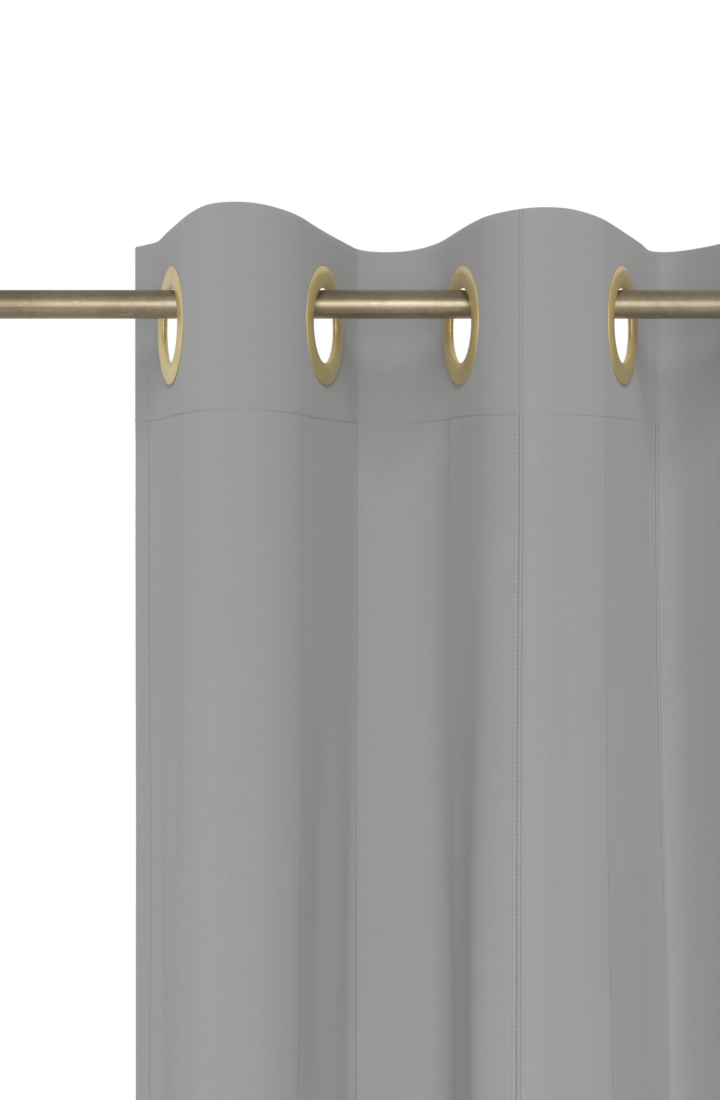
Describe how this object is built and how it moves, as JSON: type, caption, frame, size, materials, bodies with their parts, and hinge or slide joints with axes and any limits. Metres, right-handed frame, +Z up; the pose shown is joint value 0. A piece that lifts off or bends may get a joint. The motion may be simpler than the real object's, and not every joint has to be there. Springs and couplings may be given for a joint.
{
  "type": "eyelet curtain panel on a pole",
  "caption": "Floor-length striped grey cloth curtain hung by metal eyelets on a thin round pole; it draws open and closed like an accordion.",
  "frame": {"origin": "on the pole's axis, at the middle of the pole's length", "axes": "+X along the pole, to the right seen from the room; +Y away from the room, towards the wall; +Z up"},
  "size_m": [1.2096, 0.1491, 2.45],
  "materials": {
    "cloth": "matt woven jacquard with upright stripes",
    "stiffener": "plain bonded buckram",
    "eyelets": "polished plating",
    "pole": "brushed antique brass",
    "pole_caps": "brushed antique brass"
  },
  "bodies": {
    "pole": {"pole_tube": "pole", "end_cap_left": "pole_caps", "end_cap_right": "pole_caps"},
    "leaf_1": {"header_face_1": "cloth", "header_stiffener_1": "stiffener", "header_facing_1": "cloth", "drop_cloth_1": "cloth", "eyelet_front_1": "eyelets", "eyelet_back_1": "eyelets", "side_hem_left": "cloth"},
    "leaf_2": {"header_face_2": "cloth", "header_stiffener_2": "stiffener", "header_facing_2": "cloth", "drop_cloth_2": "cloth", "eyelet_front_2": "eyelets", "eyelet_back_2": "eyelets"},
    "leaf_3": {"header_face_3": "cloth", "header_stiffener_3": "stiffener", "header_facing_3": "cloth", "drop_cloth_3": "cloth", "eyelet_front_3": "eyelets", "eyelet_back_3": "eyelets"},
    "leaf_4": {"header_face_4": "cloth", "header_stiffener_4": "stiffener", "header_facing_4": "cloth", "drop_cloth_4": "cloth", "eyelet_front_4": "eyelets", "eyelet_back_4": "eyelets"},
    "leaf_5": {"header_face_5": "cloth", "header_stiffener_5": "stiffener", "header_facing_5": "cloth", "drop_cloth_5": "cloth", "eyelet_front_5": "eyelets", "eyelet_back_5": "eyelets"},
    "leaf_6": {"header_face_6": "cloth", "header_stiffener_6": "stiffener", "header_facing_6": "cloth", "drop_cloth_6": "cloth", "eyelet_front_6": "eyelets", "eyelet_back_6": "eyelets"},
    "leaf_7": {"header_face_7": "cloth", "header_stiffener_7": "stiffener", "header_facing_7": "cloth", "drop_cloth_7": "cloth", "eyelet_front_7": "eyelets", "eyelet_back_7": "eyelets"},
    "leaf_8": {"header_face_8": "cloth", "header_stiffener_8": "stiffener", "header_facing_8": "cloth", "drop_cloth_8": "cloth", "eyelet_front_8": "eyelets", "eyelet_back_8": "eyelets", "side_hem_right": "cloth"}
  },
  "joints": [
    {"name": "eyelet_1_swing", "type": "hinge", "parent": "pole", "child": "leaf_1", "pos_m": [-0.47, 0, -0.0119], "axis": [0, 0, -1], "range_deg": [-16, 16]},
    {"name": "fold_1", "type": "hinge", "parent": "leaf_1", "child": "leaf_2", "pos_m": [-0.42735, -0.07137, 0], "axis": [0, 0, 1], "range_deg": [-32, 32]},
    {"name": "fold_2", "type": "hinge", "parent": "leaf_2", "child": "leaf_3", "pos_m": [-0.34625, 0.07323, 0], "axis": [0, 0, -1], "range_deg": [-32, 32]},
    {"name": "fold_3", "type": "hinge", "parent": "leaf_3", "child": "leaf_4", "pos_m": [-0.26295, -0.06915, 0], "axis": [0, 0, 1], "range_deg": [-32, 32]},
    {"name": "fold_4", "type": "hinge", "parent": "leaf_4", "child": "leaf_5", "pos_m": [-0.1766, 0.07387, 0], "axis": [0, 0, -1], "range_deg": [-32, 32]},
    {"name": "fold_5", "type": "hinge", "parent": "leaf_5", "child": "leaf_6", "pos_m": [-0.09185, -0.07023, 0], "axis": [0, 0, 1], "range_deg": [-32, 32]},
    {"name": "fold_6", "type": "hinge", "parent": "leaf_6", "child": "leaf_7", "pos_m": [-0.0086, 0.07348, 0], "axis": [0, 0, -1], "range_deg": [-32, 32]},
    {"name": "fold_7", "type": "hinge", "parent": "leaf_7", "child": "leaf_8", "pos_m": [0.0739, -0.07192, 0], "axis": [0, 0, 1], "range_deg": [-32, 32]}
  ],
  "couplings": [
    {"joint": "fold_1", "follows": "eyelet_1_swing", "ratio": 2},
    {"joint": "fold_2", "follows": "eyelet_1_swing", "ratio": 2},
    {"joint": "fold_3", "follows": "eyelet_1_swing", "ratio": 2},
    {"joint": "fold_4", "follows": "eyelet_1_swing", "ratio": 2},
    {"joint": "fold_5", "follows": "eyelet_1_swing", "ratio": 2},
    {"joint": "fold_6", "follows": "eyelet_1_swing", "ratio": 2},
    {"joint": "fold_7", "follows": "eyelet_1_swing", "ratio": 2}
  ]
}
